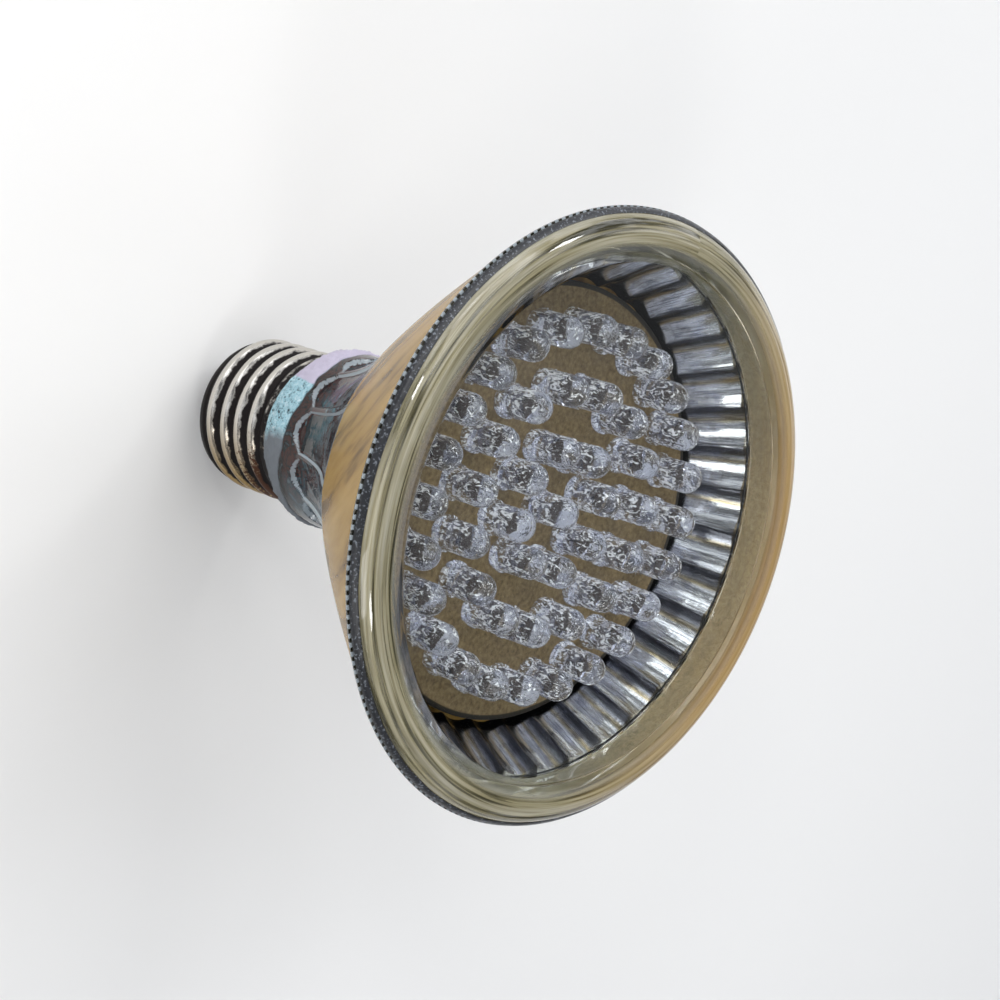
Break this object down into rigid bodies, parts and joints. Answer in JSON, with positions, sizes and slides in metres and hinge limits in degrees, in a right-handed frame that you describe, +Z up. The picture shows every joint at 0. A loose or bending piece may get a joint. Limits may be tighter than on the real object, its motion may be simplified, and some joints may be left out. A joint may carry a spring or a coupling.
{
  "type": "led par bulb",
  "caption": "Reflector lamp: glass bowl with a fluted mirror, clear lens over rings of small clear diodes, and a large screw cap.",
  "frame": {"origin": "tip of the centre contact, on the lamp's axis", "axes": "+Z runs up the lamp's axis from the cap to the lens, -Y faces the viewer"},
  "size_m": [0.0952, 0.0952, 0.0897],
  "materials": {
    "solder": "dull solder",
    "contact_metal": "worn",
    "cap_glass": "gloss",
    "plated_shell": "tarnished nickel plate",
    "cement": "rough",
    "mirrored_glass": "gloss",
    "clear_glass": "gloss",
    "bond": "satin",
    "board": "satin",
    "diode_resin": "clear gloss",
    "driver": "satin",
    "dipped_resin": "gloss",
    "can_sleeve": "gloss"
  },
  "bodies": {
    "root": {"contact_solder": "solder", "centre_contact": "contact_metal", "cap_insulator": "cap_glass", "screw_shell": "plated_shell", "cap_cement": "cement", "glass_reflector": "mirrored_glass", "front_lens": "clear_glass", "lens_bond": "bond", "led_board": "board", "driver_board": "driver", "film_capacitor": "dipped_resin", "smoothing_capacitor": "can_sleeve", "led_01": "diode_resin", "led_02": "diode_resin", "led_03": "diode_resin", "led_04": "diode_resin", "led_05": "diode_resin", "led_06": "diode_resin", "led_07": "diode_resin", "led_08": "diode_resin", "led_09": "diode_resin", "led_10": "diode_resin", "led_11": "diode_resin", "led_12": "diode_resin", "led_13": "diode_resin", "led_14": "diode_resin", "led_15": "diode_resin", "led_16": "diode_resin", "led_17": "diode_resin", "led_18": "diode_resin", "led_19": "diode_resin", "led_20": "diode_resin", "led_21": "diode_resin", "led_22": "diode_resin", "led_23": "diode_resin", "led_24": "diode_resin", "led_25": "diode_resin", "led_26": "diode_resin", "led_27": "diode_resin", "led_28": "diode_resin", "led_29": "diode_resin", "led_30": "diode_resin", "led_31": "diode_resin", "led_32": "diode_resin", "led_33": "diode_resin", "led_34": "diode_resin", "led_35": "diode_resin", "led_36": "diode_resin", "led_37": "diode_resin", "led_38": "diode_resin", "led_39": "diode_resin", "led_40": "diode_resin", "led_41": "diode_resin", "led_42": "diode_resin", "led_43": "diode_resin", "led_44": "diode_resin", "led_45": "diode_resin", "led_46": "diode_resin", "led_47": "diode_resin", "led_48": "diode_resin"}
  },
  "joints": []
}
